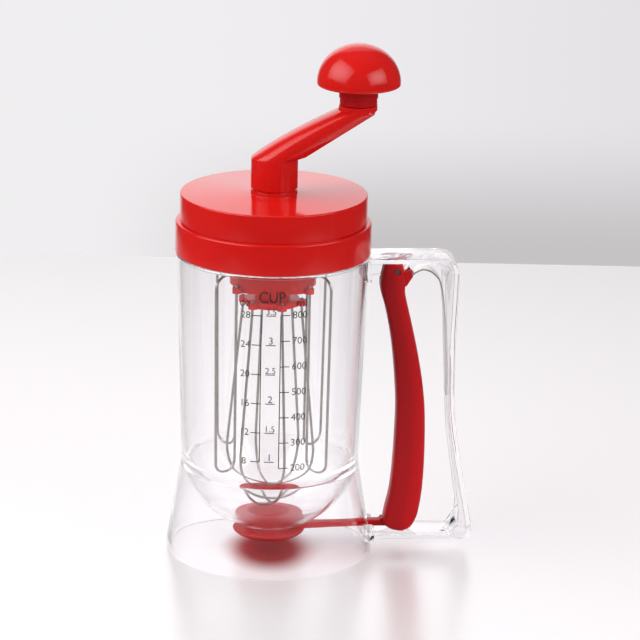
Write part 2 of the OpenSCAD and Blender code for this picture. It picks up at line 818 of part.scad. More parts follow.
jug_body();
bowl_base();
foot_skirt();
handle_frame();
hinge_lug();
outlet_seat();
trigger_pin();
trigger_spring();
trigger_lever();
valve_arm();
valve_cap();
valve_pad();
lid_collar();
lid_cover();
lid_seal();
shaft_bush();
gear_plate();
planet_pins();
lid_screws();
crank_arm();
drive_shaft();
retaining_clip();
sun_gear();
inner_hub();
inner_whisk();
hub_screw();
knob_pin();
knob_dome();
knob_stem();
whisk_drum();
loop_plate();
outer_whisk();
thrust_washer();
planet_gear_1();
planet_gear_2();
planet_gear_3();
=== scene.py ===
import json
import math

import bmesh
import bpy
from mathutils import Matrix, Quaternion, Vector


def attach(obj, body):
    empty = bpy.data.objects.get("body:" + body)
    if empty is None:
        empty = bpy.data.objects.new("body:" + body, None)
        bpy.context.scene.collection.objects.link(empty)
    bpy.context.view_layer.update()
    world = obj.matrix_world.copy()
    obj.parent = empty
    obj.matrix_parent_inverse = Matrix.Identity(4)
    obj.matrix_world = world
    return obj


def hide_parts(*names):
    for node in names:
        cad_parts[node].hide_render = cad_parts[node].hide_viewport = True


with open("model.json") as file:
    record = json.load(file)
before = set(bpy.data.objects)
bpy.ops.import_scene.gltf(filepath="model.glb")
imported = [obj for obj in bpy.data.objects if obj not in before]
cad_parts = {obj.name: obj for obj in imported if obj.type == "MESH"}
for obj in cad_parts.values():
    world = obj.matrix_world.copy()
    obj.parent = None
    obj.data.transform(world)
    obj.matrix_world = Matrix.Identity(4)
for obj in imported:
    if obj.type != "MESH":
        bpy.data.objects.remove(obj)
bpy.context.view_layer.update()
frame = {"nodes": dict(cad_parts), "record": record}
print("frame loaded:", len(frame["nodes"]), "nodes")

mm = 0.001
handleTurn = math.radians(-4)  # the camera looks 4 degrees off square to the handle
scene = bpy.context.scene


def inView(x, y, z):
    # a point given as seen from the camera: x to the right, y away, z up, in metres
    return Matrix.Rotation(handleTurn, 3, "Z") @ Vector((x, y, z))


def arc(cx, cz, rx, rz, start, end, count):
    # part of an ellipse, in degrees; outlines are lists of (x, z) in millimetres
    turns = [math.radians(start + (end - start) * i / count) for i in range(count + 1)]
    return [(cx + rx * math.cos(t), cz + rz * math.sin(t)) for t in turns]


def soften(points, radii, count=6, closed=True):
    # rounds each corner of an outline; radii is one number or one per corner
    result = []
    last = len(points) - 1
    for i, point in enumerate(points):
        radius = radii if isinstance(radii, (int, float)) else radii[i]
        if radius <= 0 or (not closed and i in (0, last)):
            result.append(point)
            continue
        here = Vector(point)
        before = (Vector(points[i - 1]) - here).normalized()
        after = (Vector(points[(i + 1) % len(points)]) - here).normalized()
        half = before.angle(after) / 2
        if half > math.radians(89):
            result.append(point)
            continue
        centre = here + (before + after).normalized() * radius / math.sin(half)
        first = here + before * radius / math.tan(half) - centre
        turn = first.angle_signed(here + after * radius / math.tan(half) - centre)
        for k in range(count + 1):
            spoke = first.copy()
            spoke.rotate(Matrix.Rotation(-turn * k / count, 2))
            result.append(tuple(centre + spoke))
    return result


def curveThrough(points, steps=6):
    # smooth line through the points
    result = []
    for i in range(len(points) - 1):
        a = Vector(points[max(i - 1, 0)])
        b = Vector(points[i])
        c = Vector(points[i + 1])
        d = Vector(points[min(i + 2, len(points) - 1)])
        for k in range(steps + (i == len(points) - 2)):
            t = k / steps
            p = 2 * b + (c - a) * t + (2 * a - 5 * b + 4 * c - d) * t ** 2 + (3 * b - a - 3 * c + d) * t ** 3
            result.append(tuple(p / 2))
    return result


def lineUp(bm, points, closed):
    verts = [bm.verts.new((x * mm, 0, z * mm)) for x, z in points]
    pairs = list(zip(verts, verts[1:])) + ([(verts[-1], verts[0])] if closed else [])
    return verts, [bm.edges.new(pair) for pair in pairs]


def lathe(points, closed=True, steps=160, x=0):
    # a turned piece about the upright through x
    bm = bmesh.new()
    verts, edges = lineUp(bm, points, closed)
    bmesh.ops.spin(bm, geom=verts + edges, cent=(0, 0, 0), axis=(0, 0, 1), dvec=(0, 0, 0),
                   angle=math.tau, steps=steps, use_merge=True)
    bmesh.ops.remove_doubles(bm, verts=bm.verts, dist=1e-6)
    bmesh.ops.dissolve_degenerate(bm, dist=1e-7, edges=bm.edges)
    bmesh.ops.translate(bm, verts=bm.verts, vec=(x * mm, 0, 0))
    bmesh.ops.recalc_face_normals(bm, faces=bm.faces)
    return bm


def slab(points, low, high, rounding=0, segments=3, sharp=30):
    # an outline in X and Z, as thick as low to high in Y, with its rims rounded
    bm = bmesh.new()
    verts, edges = lineUp(bm, points, True)
    face = bm.faces.new(verts)
    made = bmesh.ops.extrude_face_region(bm, geom=[face])
    moved = [v for v in made["geom"] if isinstance(v, bmesh.types.BMVert)]
    bmesh.ops.translate(bm, verts=moved, vec=(0, (high - low) * mm, 0))
    bmesh.ops.translate(bm, verts=bm.verts, vec=(0, low * mm, 0))
    bmesh.ops.recalc_face_normals(bm, faces=bm.faces)
    if rounding:
        rims = [e for e in bm.edges if e.calc_face_angle(0) > math.radians(sharp)]
        bmesh.ops.bevel(bm, geom=rims, offset=rounding * mm, offset_type="OFFSET", affect="EDGES",
                        segments=segments, profile=0.5, material=-1, clamp_overlap=True)
    return bm


def tower(points, low, high, rounding=0):
    # an outline in X and Y (mm), standing from low to high
    bm = slab(points, -high, -low, rounding)
    bmesh.ops.rotate(bm, verts=bm.verts, cent=(0, 0, 0), matrix=Matrix.Rotation(-math.pi / 2, 3, "X"))
    return bm


def peg(x, z, radius, low, high):
    # a round bar along Y
    return slab(arc(x, z, radius, radius, 0, 352.5, 47), low, high)


def meshOf(name, bm):
    mesh = bpy.data.meshes.new(name)
    bm.to_mesh(mesh)
    bm.free()
    return mesh


def combined(bm, other, operation):
    # boolean of two bmeshes, as a new bmesh
    base = bpy.data.objects.new("base", meshOf("base", bm))
    tool = bpy.data.objects.new("tool", meshOf("tool", other))
    for piece in (base, tool):
        scene.collection.objects.link(piece)
    modifier = base.modifiers.new("join", "BOOLEAN")
    modifier.operation = operation
    modifier.solver = "EXACT"
    modifier.object = tool
    result = bmesh.new()
    result.from_mesh(base.evaluated_get(bpy.context.evaluated_depsgraph_get()).data)
    bmesh.ops.remove_doubles(result, verts=result.verts, dist=2e-6)
    bmesh.ops.dissolve_degenerate(result, dist=1e-7, edges=result.edges)
    for piece in (base, tool):
        mesh = piece.data
        bpy.data.objects.remove(piece)
        bpy.data.meshes.remove(mesh)
    return result


def place(name, bm, material, body, stands=(), smooth=35):
    mesh = meshOf(name, bm)
    mesh.shade_smooth()
    mesh.set_sharp_from_angle(angle=math.radians(smooth))
    mesh.materials.append(material)
    piece = bpy.data.objects.new(name, mesh)
    scene.collection.objects.link(piece)
    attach(piece, body)
    if stands:
        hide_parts(*stands)
    return piece


def node(tree, kind, inputs=(), **settings):
    # one shader node with its settings; inputs holds (socket, value or source socket)
    made = tree.nodes.new(kind)
    for key, value in settings.items():
        setattr(made, key, value)
    for socket, value in inputs:
        if isinstance(value, bpy.types.NodeSocket):
            tree.links.new(value, made.inputs[socket])
        else:
            made.inputs[socket].default_value = value
    return made


def worked(tree, operation, *inputs):
    # the result of a Math node
    return node(tree, "ShaderNodeMath", enumerate(inputs), operation=operation).outputs["Value"]


def ramp(tree, source, low, high):
    # 0 to 1 as source runs from low to high
    return node(tree, "ShaderNodeMapRange", [("Value", source), ("From Min", low), ("From Max", high)],
                interpolation_type="SMOOTHSTEP").outputs["Result"]


def blend(tree, share, first, second):
    # a colour from first to second, each a socket or three numbers
    sides = [c if isinstance(c, bpy.types.NodeSocket) else (*c, 1) for c in (first, second)]
    return node(tree, "ShaderNodeMix", [("Factor", share), (6, sides[0]), (7, sides[1])],
                data_type="RGBA").outputs[2]


def grained(name, color, roughness, spread=0.05, grain=900, bump=0.02, **sockets):
    # a Principled material with fine roughness variation and a faint bump
    material = bpy.data.materials.new(name)
    material.use_nodes = True
    tree = material.node_tree
    shader = tree.nodes["Principled BSDF"]
    shader.inputs["Base Color"].default_value = (*color, 1)
    for key, value in sockets.items():
        shader.inputs[socketNames[key]].default_value = value
    spot = node(tree, "ShaderNodeTexCoord").outputs["Object"]
    noise = node(tree, "ShaderNodeTexNoise", [("Vector", spot), ("Scale", grain),
                                              ("Detail", 3)]).outputs["Fac"]
    rough = node(tree, "ShaderNodeMapRange", [("Value", noise), ("To Min", roughness - spread),
                                              ("To Max", roughness + spread)])
    tree.links.new(rough.outputs["Result"], shader.inputs["Roughness"])
    if bump:
        relief = node(tree, "ShaderNodeBump", [("Strength", bump), ("Distance", bumpDepth),
                                               ("Height", noise)])
        tree.links.new(relief.outputs["Normal"], shader.inputs["Normal"])
    return material


def mottled(material, dark, light, scale):
    # a slow drift between two close tones
    tree = material.node_tree
    spot = node(tree, "ShaderNodeTexCoord").outputs["Object"]
    noise = node(tree, "ShaderNodeTexNoise", [("Vector", spot), ("Scale", scale)]).outputs["Fac"]
    tones = node(tree, "ShaderNodeValToRGB", [("Fac", noise)])
    for stop, position, color in zip(tones.color_ramp.elements, (0.3, 0.7), (dark, light)):
        stop.position = position
        stop.color = (*color, 1)
    tree.links.new(tones.outputs["Color"], tree.nodes["Principled BSDF"].inputs["Base Color"])


def toned(material, dark, light):
    # between a painted shaded tone and a painted lit tone, by the piece's tone attribute
    tree = material.node_tree
    tone = node(tree, "ShaderNodeAttribute", attribute_name="tone").outputs["Fac"]
    tree.links.new(blend(tree, tone, dark, light), tree.nodes["Principled BSDF"].inputs["Base Color"])


def letLampsThrough(material, tint):
    # lamps reach what stands behind the clear wall
    tree = material.node_tree
    shadow = node(tree, "ShaderNodeLightPath").outputs["Is Shadow Ray"]
    clear = node(tree, "ShaderNodeBsdfTransparent", [("Color", (*tint, 1))]).outputs["BSDF"]
    solid = tree.nodes["Principled BSDF"].outputs["BSDF"]
    mix = node(tree, "ShaderNodeMixShader", [("Fac", shadow), (1, solid), (2, clear)])
    tree.links.new(mix.outputs["Shader"], tree.nodes["Material Output"].inputs["Surface"])


socketNames = {"metallic": "Metallic", "specular": "Specular IOR Level", "ior": "IOR",
               "transmission": "Transmission Weight"}
bumpDepth = 0.0002  # metres

redPlastic = grained("redPlastic", (0.69, 0.011, 0.008), 0.1, 0.03, 600, 0.01, specular=0.36)
mottled(redPlastic, (0.67, 0.01, 0.008), (0.72, 0.011, 0.009), 25)
# the valve's darker, duller red; on the knob stem it is painted shade under the dome
valveRedAndStemShade = grained("valveRedAndStemShade", (0.46, 0.008, 0.01), 0.24, 0.05, 900, 0.03, specular=0.08)
mottled(valveRedAndStemShade, (0.44, 0.007, 0.009), (0.49, 0.008, 0.01), 40)
triggerPlastic = grained("triggerPlastic", (0.42, 0.012, 0.014), 0.34, 0.05, 1400, 0.08, specular=0.14)
# painted shading on the lever: a shaded and a lit tone of one red
toned(triggerPlastic, (0.38, 0.008, 0.011), (0.61, 0.009, 0.013))

clearPlastic = grained("clearPlastic", (0.995, 0.99, 0.997), 0.03, 0.015, 300, 0, transmission=1, ior=1.49)
letLampsThrough(clearPlastic, (0.96, 0.955, 0.965))
seatSilicone = grained("seatSilicone", (0.68, 0.035, 0.05), 0.3, 0.05, 500, 0.03, transmission=0.6, ior=1.41)
letLampsThrough(seatSilicone, (0.8, 0.6, 0.6))

redSilicone = grained("redSilicone", (0.5, 0.012, 0.014), 0.4, 0.05, 900, 0.04)
wireSteel = grained("wireSteel", (0.38, 0.36, 0.34), 0.2, 0.05, 700, 0.03, metallic=1)
pinSteel = grained("pinSteel", (0.2, 0.17, 0.17), 0.35, 0.06, 900, 0.03, metallic=1)
springSteel = grained("springSteel", (0.7, 0.68, 0.65), 0.3, 0.05, 500, 0.02, metallic=1)
gearNylon = grained("gearNylon", (0.84, 0.83, 0.78), 0.42, 0.05, 500, 0.05)
scaleInk = grained("scaleInk", (0.008, 0.008, 0.009), 0.5, 0.05, 900, 0)
print("materials made")

slotMaterials = {
    "clear_plastic": clearPlastic, "red_plastic": redPlastic, "trigger_plastic": triggerPlastic,
    "steel": wireSteel, "spring_steel": springSteel, "seat_silicone": seatSilicone, "nylon": gearNylon,
    "red_silicone": redSilicone,
}
for part in frame["record"]["subparts"]:
    solid = frame["nodes"][part["node"]]
    solid.data.materials.clear()
    solid.data.materials.append(slotMaterials[part["material_slot"]])


jug = {
    "waistZ": 50.4, "wallZ": 58.0, "waistRadius": 48.2, "topRadius": 51.6, "wall": 2.2,
    "beadZ": 166.6, "beadRadius": 52.2, "neckRadius": 51.1, "rimZ": 180.6, "bowlZ": 60.9,
    "openingRadius": 13.0, "footRadius": 56.0, "footWall": 1.6, "bandHeight": 3.0, "crotchZ": 49.2,
}


def dropOf(radius, sphere):
    # the angle below level at which a round bowl is this far from its axis
    return -math.degrees(math.acos(radius / sphere))


def jugShell(s):
    # clear cylinder with a bead below the lid, a round bottom and a flared foot
    outside = s["waistRadius"]
    inside = outside - s["wall"]
    neck = s["neckRadius"]
    crotchRadius = math.sqrt(outside ** 2 - (s["bowlZ"] - s["crotchZ"]) ** 2)
    under = arc(0, s["bowlZ"], outside, outside, dropOf(s["openingRadius"] + 0.4, outside),
                dropOf(crotchRadius, outside), 44)
    footInside = s["footRadius"] - s["footWall"]
    crotch = soften([under[-2], under[-1], (footInside, s["bandHeight"])], [0, 0.2, 0], 6, False)
    foot = soften([(footInside, 0), (s["footRadius"], 0), (s["footRadius"], s["bandHeight"]),
                   (outside, s["waistZ"]), (outside, s["wallZ"])], [0, 0.3, 3, 30, 0], 6, False)
    rim = [
        (s["topRadius"], s["beadZ"] - 1.2),
        *arc(s["topRadius"] - 0.3, s["beadZ"], s["beadRadius"] - s["topRadius"] + 0.3, 0.85, -70, 90, 8),
        (neck, s["beadZ"] + 0.9), (neck, s["rimZ"] - 0.6), (neck - 0.5, s["rimZ"]),
        (neck - s["wall"] + 0.5, s["rimZ"]), (neck - s["wall"], s["rimZ"] - 0.6),
        (neck - s["wall"], s["beadZ"] - 2),
    ]
    above = arc(0, s["bowlZ"], inside, inside, -3, dropOf(s["openingRadius"], inside), 46)
    return lathe(under[:-2] + crotch + foot + rim + above, steps=240)


handle = {
    "start": 50.6, "top": 166.1, "upright": 99.0, "bendZ": 75.6, "lean": 10.3, "low": 7.5, "end": 55,
    "web": 2.6, "flange": 2.6, "halfWidth": 12, "corner": 9.5, "foot": 5.5, "straightZ": 118, "edge": 0.5,
    "flangeEdge": [(50.6, 163.5), (86.5, 163.5), (90.2, 161), (92.1, 153.6), (92.5, 143.7), (94, 115.6),
                   (95.3, 87.4), (96.8, 64.6), (100.2, 41.6), (102.8, 24.4), (102.4, 15.4), (98.6, 10.1),
                   (55, 10.1)],
    "rib": [(-1.2, 1), (-14, -0.3), (-3.2, 16)], "ribHalf": 1,
}


def handleChannel(s):
    # flat bars above and below, two flanges along the upright, a rib in the lower corner
    web = s["web"]
    upright = s["upright"]
    footX = upright + 0.1 + (s["bendZ"] - s["low"]) * math.tan(math.radians(s["lean"]))
    outer = soften([(s["start"], s["top"]), (upright + 1.2, s["top"]), (upright - 0.4, s["straightZ"]),
                    (upright + 0.1, s["bendZ"]), (footX, s["low"]), (s["end"], s["low"])],
                   [0, s["corner"], 300, 200, s["foot"], 0], 10, False)
    inner = soften([(s["start"] - 9, s["top"] - web), (upright + 1.2 - web * 1.03, s["top"] - web),
                    (upright - 0.4 - web, s["straightZ"]), (upright + 0.1 - web, s["bendZ"]),
                    (footX - web * 1.19, s["low"] + web), (s["end"] - 9, s["low"] + web)],
                   [0, s["corner"] - web, 300, 200, s["foot"] - web, 0], 10, False)
    body = slab(outer + s["flangeEdge"][::-1], -s["halfWidth"], s["halfWidth"])
    reach = s["halfWidth"] - s["flange"]
    body = combined(body, slab(inner, -reach, reach), "DIFFERENCE")
    bmesh.ops.dissolve_limit(body, angle_limit=math.radians(0.5), verts=body.verts, edges=body.edges)
    rims = [e for e in body.edges if e.is_manifold and e.calc_face_angle(0) > math.radians(40)]
    bmesh.ops.bevel(body, geom=rims, offset=s["edge"] * mm, offset_type="OFFSET", affect="EDGES",
                    segments=3, profile=0.5, material=-1, clamp_overlap=True)
    cornerX = footX - web * 1.19
    rib = slab([(cornerX + x, s["low"] + web + z) for x, z in s["rib"]], -s["ribHalf"], s["ribHalf"])
    return combined(body, rib, "UNION")


joins = {
    "upperInside": 44, "face": 52.6, "upperHalf": 10, "upperLow": 152.5, "upperHigh": 165.8,
    "lowerInside": 47, "lowerFace": 57.0, "lowerHalf": 12, "lowerLow": 5.5, "lowerHigh": 14.0,
    "footInside": 52.3, "sill": 9.9, "slotZ": 15, "slotRadius": 6, "slotFrom": -62, "slotTo": -43,
    "lugStart": 51.6, "lugEnd": 69.6, "lugTip": 75.2, "lugHalf": 3.0, "lugLow": 154.8, "lugHigh": 163.8,
    "pinX": 66.9, "pinZ": 157.8, "pinHole": 1.5, "pinReach": 8,
}


def clearBody(s):
    # the shell with the handle's bosses, the trigger's lug and the slot for the valve arm
    shell = jugShell(jug)
    upper = slab(soften([(s["upperInside"], s["upperLow"]), (s["face"], s["upperLow"]),
                         (s["face"], s["upperHigh"]), (s["upperInside"], s["upperHigh"])],
                        [0, 0.7, 0.4, 0], 4), -s["upperHalf"], s["upperHalf"])
    bore = lathe([(0, 100), (jug["waistRadius"] - 0.9, 100), (jug["neckRadius"] - 1.1, 190), (0, 190)],
                 steps=96)
    shell = combined(shell, combined(upper, bore, "DIFFERENCE"), "UNION")
    lower = slab(soften([(s["lowerInside"], s["lowerLow"]), (s["lowerFace"], s["lowerLow"]),
                         (s["lowerFace"], s["lowerHigh"]), (s["lowerInside"], s["lowerHigh"])],
                        [0, 0.7, 0.7, 0], 4), -s["lowerHalf"], s["lowerHalf"])
    hollow = lathe([(0, -5), (s["footInside"], -5), (s["footInside"], 30), (0, 30)], steps=128)
    shell = combined(shell, combined(lower, hollow, "DIFFERENCE"), "UNION")
    shell = combined(shell, handleChannel(handle), "UNION")
    lug = slab([(s["lugStart"], s["lugLow"]), (s["lugEnd"], s["lugLow"]), (s["lugTip"], s["lugHigh"] - 0.9),
                (s["lugTip"], s["lugHigh"]), (s["lugStart"], s["lugHigh"])],
               -s["lugHalf"], s["lugHalf"], 0.3)
    shell = combined(shell, lug, "UNION")
    cutter = slab([(-s["slotRadius"], s["sill"]), (s["slotRadius"], s["sill"]),
                   *arc(0, s["slotZ"], s["slotRadius"], s["slotRadius"], 0, 180, 20)],
                  s["slotFrom"], s["slotTo"])
    bmesh.ops.rotate(cutter, verts=cutter.verts, cent=(0, 0, 0), matrix=Matrix.Rotation(math.pi / 2, 3, "Z"))
    shell = combined(shell, cutter, "DIFFERENCE")
    hole = peg(s["pinX"], s["pinZ"], s["pinHole"], -s["pinReach"], s["pinReach"])
    return combined(shell, hole, "DIFFERENCE")


place("clearBody", clearBody(joins), clearPlastic, "jug",
      ["jug_body", "bowl_base", "foot_skirt", "handle_frame", "hinge_lug"])

seat = {"hole": 11.4, "neck": 12.9, "bed": 45.9, "outer": 18.5, "low": 14.7, "top": 22.5,
        "bowlZ": jug["bowlZ"]}


def seatRing(s):
    # soft ring that lies on the bowl round its opening
    bed = s["bed"]
    return lathe([(s["hole"] + 0.2, s["low"]), (s["neck"], s["low"]),
                  *arc(0, s["bowlZ"], bed, bed, dropOf(s["neck"], bed), dropOf(s["outer"], bed), 8),
                  *arc(s["outer"] - 1.6, s["top"] - 2.2, 1.6, 1.8, 0, 90, 8),
                  *arc(s["hole"] + 0.9, s["top"] - 0.9, 0.9, 0.9, 90, 180, 6), (s["hole"], s["low"] + 0.2)])


place("seatRing", seatRing(seat), seatSilicone, "jug", ["outlet_seat"])
print("jug made")


lever = {
    "front": [(162.6, 59.7), (158.6, 58.9), (153, 57.9), (146.6, 58.1), (135, 61.3), (118.2, 64.6),
              (99, 66.8), (79, 68), (50.1, 67.1), (32.9, 65.6), (21.8, 63.3), (14.9, 62.4), (12.6, 64),
              (11, 68), (10.6, 72.8)],
    "back": [(162.6, 69.3), (155.5, 71.2), (149.5, 71.4), (143.5, 71.7), (126.8, 75.7), (110, 79.4),
             (93.1, 82.3), (76.1, 83.9), (52, 84.2), (34, 83.4), (21.1, 81.6), (16.2, 80), (12.2, 77.4),
             (10.6, 73.2)],
    "halfWidth": 7.5, "rings": 120, "round": 0.42, "pinX": joins["pinX"], "pinZ": joins["pinZ"],
    "pinHole": 1.62, "forkZ": 153.3, "forkHalf": 3.4,
    "ear": [(69, 149.4), (71.8, 149.4), (75.3, 155), (73.6, 158.3), (71.5, 157.4), (69, 155)], "earHalf": 6,
    "slot": [(71, 149.5), (72.7, 150.6), (74.9, 153.6), (78.4, 156.7), (77, 159.4), (73.4, 156.6),
             (71, 152.6)], "slotHalf": 5.3,
    "socket": [(61.6, 12.2), (68.6, 12.2), (68.6, 15.3), (61.6, 15.3)], "socketHalf": 3,
    # the tone numbers place the lever's painted shade and painted light
    "toneSide": 0.62, "toneLower": 0.38, "toneStart": 0.4, "toneWidth": 0.35, "toneHigh": 110, "toneDrop": 70,
}


def across(points, level):
    # x at a height, on a curve of (z, x) points from the top down
    for (z0, x0), (z1, x1) in zip(points, points[1:]):
        if z1 <= level <= z0:
            return x0 + (x1 - x0) * (z0 - level) / max(z0 - z1, 1e-6)
    return points[0][1] if level > points[0][0] else points[-1][1]


def triggerLever(s):
    # upright sections with crowned sides between the front and back curves, closer together at the foot
    front = curveThrough(s["front"])
    back = curveThrough(s["back"])
    top = front[0][0]
    low = front[-1][0]
    bm = bmesh.new()
    before = None
    for i in range(s["rings"] + 1):
        t = i / s["rings"]
        level = top - (top - low) * (t if t < 0.9 else 0.9 + 0.1 * math.sin((t - 0.9) * 5 * math.pi))
        x0 = across(front, level)
        x1 = max(across(back, level), x0 + 0.3)
        shrink = 1 - 0.1 * max(0, 1 - (level - low) / 3) ** 2 - 0.08 * max(0, 1 - (top - level) / 0.8) ** 2
        ring = bmesh.ops.create_circle(bm, cap_ends=False, radius=1, segments=72)["verts"]
        for v in ring:
            c = math.copysign(abs(v.co.x) ** s["round"], v.co.x)
            d = math.copysign(abs(v.co.y) ** s["round"], v.co.y)
            x = (x0 + x1) / 2 + (x1 - x0) / 2 * c
            v.co = Vector((x * mm, s["halfWidth"] * shrink * d * mm, level * mm))
        edges = {e for v in ring for e in v.link_edges}
        if before:
            bmesh.ops.bridge_loops(bm, edges=list(edges | before))
        before = edges
    bmesh.ops.holes_fill(bm, edges=bm.edges, sides=0)
    bmesh.ops.recalc_face_normals(bm, faces=bm.faces)
    bm = combined(bm, slab(s["ear"], -s["earHalf"], s["earHalf"], 0.3), "UNION")
    fork = slab([(50, s["forkZ"]), (71.8, s["forkZ"]), (79, 164), (79, 170), (50, 170)],
                -s["forkHalf"], s["forkHalf"])
    bm = combined(bm, fork, "DIFFERENCE")
    bm = combined(bm, slab(s["slot"], -s["slotHalf"], s["slotHalf"]), "DIFFERENCE")
    bm = combined(bm, slab(s["socket"], -s["socketHalf"], s["socketHalf"]), "DIFFERENCE")
    return combined(bm, peg(s["pinX"], s["pinZ"], s["pinHole"], -9, 9), "DIFFERENCE")


def paintTone(piece, s):
    # painted shade and light: darker towards the jug, lighter towards the hand and lower down
    tone = piece.data.attributes.new("tone", "FLOAT", "POINT")
    front = curveThrough(s["front"])
    back = curveThrough(s["back"])
    for i, v in enumerate(piece.data.vertices):
        level = v.co.z / mm
        x0 = across(front, level)
        x1 = max(across(back, level), x0 + 0.3)
        side = min(1, max(0, ((v.co.x / mm - x0) / (x1 - x0) - s["toneStart"]) / s["toneWidth"]))
        lower = min(1, max(0, (s["toneHigh"] - level) / s["toneDrop"]))
        side = side * side * (3 - 2 * side)
        tone.data[i].value = min(1, s["toneSide"] * side + s["toneLower"] * lower)


place("triggerLever", triggerLever(lever), triggerPlastic, "trigger", ["trigger_lever"])
paintTone(bpy.data.objects["triggerLever"], lever)
pin = {"radius": 1.35, "halfLength": 7}
place("pivotPin", peg(lever["pinX"], lever["pinZ"], pin["radius"], -pin["halfLength"], pin["halfLength"]),
      pinSteel, "jug", ["trigger_pin"])

leaf = {
    "line": [(71.6, 151.4), (73.2, 154.1), (75.6, 156.6), (78.4, 158.3), (81.4, 158.9), (85.2, 157.7),
             (88.5, 154.9), (90.6, 151.4), (92.1, 144.6), (93.2, 134.6), (94.2, 122), (95, 105), (95.4, 88)],
    "thick": 0.8, "halfWidth": 5,
}


def leafSpring(s):
    # bent strip between the lever's ear and the strap
    line = [Vector(p) for p in curveThrough(s["line"])]
    inner = []
    for i, point in enumerate(line):
        ahead = (line[min(i + 1, len(line) - 1)] - line[max(i - 1, 0)]).normalized()
        inner.append((point.x + ahead.y * s["thick"], point.y - ahead.x * s["thick"]))
    return slab([tuple(p) for p in line] + inner[::-1], -s["halfWidth"], s["halfWidth"])


place("leafSpring", leafSpring(leaf), springSteel, "jug", ["trigger_spring"])
print("trigger made")


cap = {"radius": 19.5, "rimZ": 11.9, "low": 5.5, "top": 12.2, "padRadius": 12.5, "padZ": 11.2}


def valveCap(s):
    # shallow dish with a sharp rim and a pocket for the plug
    return lathe([(0, s["padZ"]), (s["padRadius"], s["padZ"]), (s["padRadius"], s["top"]),
                  (s["radius"] - 0.15, s["top"]),
                  *arc(0, s["rimZ"], s["radius"], s["rimZ"] - s["low"], 0, -90, 30)], closed=False)


place("valveCap", valveCap(cap), valveRedAndStemShade, "trigger", ["valve_cap"])

arm = {"low": 12.2, "high": 15.3, "rounding": 0.35, "side": [(8, 5), (17, 5), (25, 3.9), (35, 3), (68.6, 3)],
       "catch": [(60.2, 15), (62.5, 15), (62.5, 16.6), (61.2, 16.6)], "catchHalf": 3,
       "plugRoom": [(0, 10), (12.9, 10), (12.9, 20), (0, 20)],
       "bowlRoom": [(11, 13.57), (22, 17), (22, 20), (11, 20)]}


def valveArm(s):
    # flat bar whose flared root lies on the cap's rim
    side = soften(s["side"], [0, 4, 8, 8, 0], 5, False)
    outline = side + [(x, -y) for x, y in side[::-1]]
    bm = tower(outline, s["low"], s["high"], s["rounding"])
    for room in (s["plugRoom"], s["bowlRoom"]):
        bm = combined(bm, lathe(room, steps=96), "DIFFERENCE")
    return combined(bm, slab(s["catch"], -s["catchHalf"], s["catchHalf"]), "UNION")


place("valveArm", valveArm(arm), valveRedAndStemShade, "trigger", ["valve_arm"])
print("valve made")


lid = {
    "collarRadius": 52.6, "collarBore": 51.4, "collarLow": 167.9, "step": 184.8, "coverRadius": 50.2,
    "top": 200.0, "wall": 2.4, "plugRadius": 48.3, "plugBore": 46.8, "plugLow": 172, "spigot": 46.4,
    "spigotBore": 44.4, "spigotLow": 177.6, "postRadius": 12.6, "shaftHole": 6.02, "guideRadius": 9,
    "guideLow": 188, "shoulder": 2, "tip": 3.1,
}


def lidCollar(s):
    ceiling = s["step"] - s["wall"]
    return lathe(soften([(s["collarBore"], s["collarLow"]), (s["collarRadius"], s["collarLow"]),
                         (s["collarRadius"], s["step"]), (s["spigot"], s["step"]), (s["spigot"], ceiling),
                         (s["plugBore"], ceiling), (s["plugBore"], s["plugLow"]),
                         (s["plugRadius"], s["plugLow"]), (s["plugRadius"], ceiling),
                         (s["collarBore"], ceiling)],
                        [0.3, 0.4, 1.3, 0, 0, 0, 0.4, 0.4, 0, 0], 6), steps=240)


place("lidCollar", lidCollar(lid), redPlastic, "lid", ["lid_collar"])


def lidCover(s):
    # a cap on a short spigot, with a stepped post round the shaft
    inner = s["coverRadius"] - s["wall"]
    ceiling = s["top"] - s["wall"]
    shoulder = s["top"] + s["shoulder"]
    tip = s["top"] + s["tip"]
    return lathe(soften([(s["spigotBore"], s["spigotLow"]), (s["spigot"], s["spigotLow"]),
                         (s["spigot"], s["step"]), (s["coverRadius"], s["step"]),
                         (s["coverRadius"], s["top"]), (s["postRadius"], s["top"]),
                         (s["postRadius"], shoulder),
                         (s["postRadius"] - 1, shoulder), (s["postRadius"] - 1, tip), (s["shaftHole"], tip),
                         (s["shaftHole"], s["guideLow"]), (s["guideRadius"], s["guideLow"]),
                         (s["guideRadius"], ceiling), (inner, ceiling), (inner, s["step"] + 2),
                         (s["spigotBore"], s["step"])],
                        [0, 0, 0, 0.2, 0.9, 0.3, 0.25, 0, 0, 0, 0, 0, 0, 0, 0, 0], 6), steps=240)


place("lidCover", lidCover(lid), redPlastic, "lid", ["lid_cover"])
print("lid made")


crank = {
    "postRadius": 12.6, "postLow": 203.3, "rootZ": 219.3, "throw": 44.1, "bossRadius": 10.2, "bossZ": 248.4,
    "bossHeight": 2.7, "crown": 11.6, "lean": 0.6, "crease": 49, "nose": 0.68, "edge": 0.4,
    "steps": 24, "flatFrom": 1 / 14, "flatTo": 1 / 24,
}


